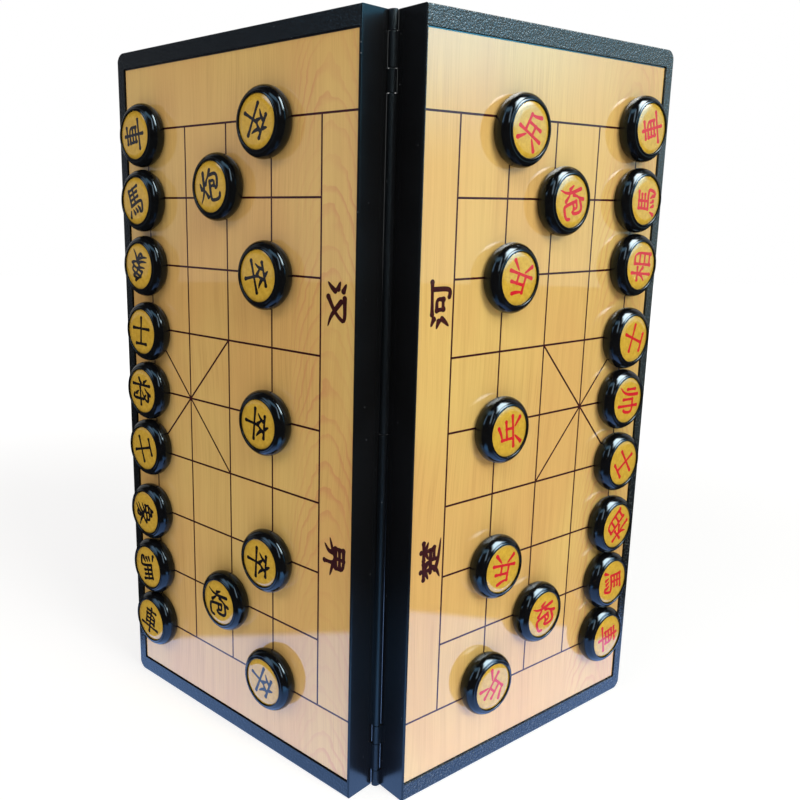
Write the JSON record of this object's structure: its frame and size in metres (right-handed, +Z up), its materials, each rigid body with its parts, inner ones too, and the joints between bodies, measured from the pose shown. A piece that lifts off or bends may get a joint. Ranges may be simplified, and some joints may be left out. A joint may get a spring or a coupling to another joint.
{
  "type": "folding xiangqi box",
  "caption": "Folding magnetic xiangqi box standing half open on its end, with both playing faces outward and a full set of round game pieces on the board.",
  "frame": {"origin": "on the table under the middle of the half-open box", "axes": "+Z up along the hinge axis, the spine and the two playing faces towards -Y, the black side at -X and the red side at +X"},
  "size_m": [0.2914, 0.1292, 0.36],
  "materials": {
    "tray_plastic": "black moulded plastic with a fine grain and a satin sheen",
    "pin_steel": "drawn steel wire",
    "sheet_steel": "plain tinned steel sheet",
    "board_film": "printed light wood grain under a satin film",
    "piece_shell": "polished black plastic",
    "label": "gold label under a clear film",
    "line_ink": "printed dark red-brown line",
    "black_ink": "printed black",
    "red_ink": "printed red",
    "magnet": "dark bonded ferrite"
  },
  "bodies": {
    "left_half": {"tray_left": "tray_plastic", "hinge_pin": "pin_steel", "steel_sheet_left": "sheet_steel", "board_film_left": "board_film"},
    "right_half": {"tray_right": "tray_plastic", "steel_sheet_right": "sheet_steel", "board_film_right": "board_film"},
    "black_chariot_1": {"black_chariot_1": "piece_shell"},
    "black_horse_1": {"black_horse_1": "piece_shell"},
    "black_elephant_1": {"black_elephant_1": "piece_shell"},
    "black_advisor_1": {"black_advisor_1": "piece_shell"},
    "black_general": {"black_general": "piece_shell"},
    "black_advisor_2": {"black_advisor_2": "piece_shell"},
    "black_elephant_2": {"black_elephant_2": "piece_shell"},
    "black_horse_2": {"black_horse_2": "piece_shell"},
    "black_chariot_2": {"black_chariot_2": "piece_shell"},
    "black_cannon_1": {"black_cannon_1": "piece_shell"},
    "black_cannon_2": {"black_cannon_2": "piece_shell"},
    "black_soldier_1": {"black_soldier_1": "piece_shell"},
    "black_soldier_2": {"black_soldier_2": "piece_shell"},
    "black_soldier_3": {"black_soldier_3": "piece_shell"},
    "black_soldier_4": {"black_soldier_4": "piece_shell"},
    "black_soldier_5": {"black_soldier_5": "piece_shell"},
    "red_chariot_1": {"red_chariot_1": "piece_shell"},
    "red_horse_1": {"red_horse_1": "piece_shell"},
    "red_elephant_1": {"red_elephant_1": "piece_shell"},
    "red_advisor_1": {"red_advisor_1": "piece_shell"},
    "red_general": {"red_general": "piece_shell"},
    "red_advisor_2": {"red_advisor_2": "piece_shell"},
    "red_elephant_2": {"red_elephant_2": "piece_shell"},
    "red_horse_2": {"red_horse_2": "piece_shell"},
    "red_chariot_2": {"red_chariot_2": "piece_shell"},
    "red_cannon_1": {"red_cannon_1": "piece_shell"},
    "red_cannon_2": {"red_cannon_2": "piece_shell"},
    "red_soldier_1": {"red_soldier_1": "piece_shell"},
    "red_soldier_2": {"red_soldier_2": "piece_shell"},
    "red_soldier_3": {"red_soldier_3": "piece_shell"},
    "red_soldier_4": {"red_soldier_4": "piece_shell"},
    "red_soldier_5": {"red_soldier_5": "piece_shell"}
  },
  "joints": [
    {"name": "fold", "type": "hinge", "parent": "left_half", "child": "right_half", "pos_m": [0, -0.05208, 0.18], "axis": [0, 0, 1], "range_deg": [-81.9, 98.1]},
    {"name": "black_chariot_1_lift", "type": "slide", "parent": "left_half", "child": "black_chariot_1", "axis": [-0.6554, -0.7553, 0], "range_m": [0, 0.03]},
    {"name": "black_horse_1_lift", "type": "slide", "parent": "left_half", "child": "black_horse_1", "axis": [-0.6554, -0.7553, 0], "range_m": [0, 0.03]},
    {"name": "black_elephant_1_lift", "type": "slide", "parent": "left_half", "child": "black_elephant_1", "axis": [-0.6554, -0.7553, 0], "range_m": [0, 0.03]},
    {"name": "black_advisor_1_lift", "type": "slide", "parent": "left_half", "child": "black_advisor_1", "axis": [-0.6554, -0.7553, 0], "range_m": [0, 0.03]},
    {"name": "black_general_lift", "type": "slide", "parent": "left_half", "child": "black_general", "axis": [-0.6554, -0.7553, 0], "range_m": [0, 0.03]},
    {"name": "black_advisor_2_lift", "type": "slide", "parent": "left_half", "child": "black_advisor_2", "axis": [-0.6554, -0.7553, 0], "range_m": [0, 0.03]},
    {"name": "black_elephant_2_lift", "type": "slide", "parent": "left_half", "child": "black_elephant_2", "axis": [-0.6554, -0.7553, 0], "range_m": [0, 0.03]},
    {"name": "black_horse_2_lift", "type": "slide", "parent": "left_half", "child": "black_horse_2", "axis": [-0.6554, -0.7553, 0], "range_m": [0, 0.03]},
    {"name": "black_chariot_2_lift", "type": "slide", "parent": "left_half", "child": "black_chariot_2", "axis": [-0.6554, -0.7553, 0], "range_m": [0, 0.03]},
    {"name": "black_cannon_1_lift", "type": "slide", "parent": "left_half", "child": "black_cannon_1", "axis": [-0.6554, -0.7553, 0], "range_m": [0, 0.03]},
    {"name": "black_cannon_2_lift", "type": "slide", "parent": "left_half", "child": "black_cannon_2", "axis": [-0.6554, -0.7553, 0], "range_m": [0, 0.03]},
    {"name": "black_soldier_1_lift", "type": "slide", "parent": "left_half", "child": "black_soldier_1", "axis": [-0.6554, -0.7553, 0], "range_m": [0, 0.03]},
    {"name": "black_soldier_2_lift", "type": "slide", "parent": "left_half", "child": "black_soldier_2", "axis": [-0.6554, -0.7553, 0], "range_m": [0, 0.03]},
    {"name": "black_soldier_3_lift", "type": "slide", "parent": "left_half", "child": "black_soldier_3", "axis": [-0.6554, -0.7553, 0], "range_m": [0, 0.03]},
    {"name": "black_soldier_4_lift", "type": "slide", "parent": "left_half", "child": "black_soldier_4", "axis": [-0.6554, -0.7553, 0], "range_m": [0, 0.03]},
    {"name": "black_soldier_5_lift", "type": "slide", "parent": "left_half", "child": "black_soldier_5", "axis": [-0.6554, -0.7553, 0], "range_m": [0, 0.03]},
    {"name": "red_chariot_1_lift", "type": "slide", "parent": "right_half", "child": "red_chariot_1", "axis": [0.6554, -0.7553, 0], "range_m": [0, 0.03]},
    {"name": "red_horse_1_lift", "type": "slide", "parent": "right_half", "child": "red_horse_1", "axis": [0.6554, -0.7553, 0], "range_m": [0, 0.03]},
    {"name": "red_elephant_1_lift", "type": "slide", "parent": "right_half", "child": "red_elephant_1", "axis": [0.6554, -0.7553, 0], "range_m": [0, 0.03]},
    {"name": "red_advisor_1_lift", "type": "slide", "parent": "right_half", "child": "red_advisor_1", "axis": [0.6554, -0.7553, 0], "range_m": [0, 0.03]},
    {"name": "red_general_lift", "type": "slide", "parent": "right_half", "child": "red_general", "axis": [0.6554, -0.7553, 0], "range_m": [0, 0.03]},
    {"name": "red_advisor_2_lift", "type": "slide", "parent": "right_half", "child": "red_advisor_2", "axis": [0.6554, -0.7553, 0], "range_m": [0, 0.03]},
    {"name": "red_elephant_2_lift", "type": "slide", "parent": "right_half", "child": "red_elephant_2", "axis": [0.6554, -0.7553, 0], "range_m": [0, 0.03]},
    {"name": "red_horse_2_lift", "type": "slide", "parent": "right_half", "child": "red_horse_2", "axis": [0.6554, -0.7553, 0], "range_m": [0, 0.03]},
    {"name": "red_chariot_2_lift", "type": "slide", "parent": "right_half", "child": "red_chariot_2", "axis": [0.6554, -0.7553, 0], "range_m": [0, 0.03]},
    {"name": "red_cannon_1_lift", "type": "slide", "parent": "right_half", "child": "red_cannon_1", "axis": [0.6554, -0.7553, 0], "range_m": [0, 0.03]},
    {"name": "red_cannon_2_lift", "type": "slide", "parent": "right_half", "child": "red_cannon_2", "axis": [0.6554, -0.7553, 0], "range_m": [0, 0.03]},
    {"name": "red_soldier_1_lift", "type": "slide", "parent": "right_half", "child": "red_soldier_1", "axis": [0.6554, -0.7553, 0], "range_m": [0, 0.03]},
    {"name": "red_soldier_2_lift", "type": "slide", "parent": "right_half", "child": "red_soldier_2", "axis": [0.6554, -0.7553, 0], "range_m": [0, 0.03]},
    {"name": "red_soldier_3_lift", "type": "slide", "parent": "right_half", "child": "red_soldier_3", "axis": [0.6554, -0.7553, 0], "range_m": [0, 0.03]},
    {"name": "red_soldier_4_lift", "type": "slide", "parent": "right_half", "child": "red_soldier_4", "axis": [0.6554, -0.7553, 0], "range_m": [0, 0.03]},
    {"name": "red_soldier_5_lift", "type": "slide", "parent": "right_half", "child": "red_soldier_5", "axis": [0.6554, -0.7553, 0], "range_m": [0, 0.03]}
  ]
}
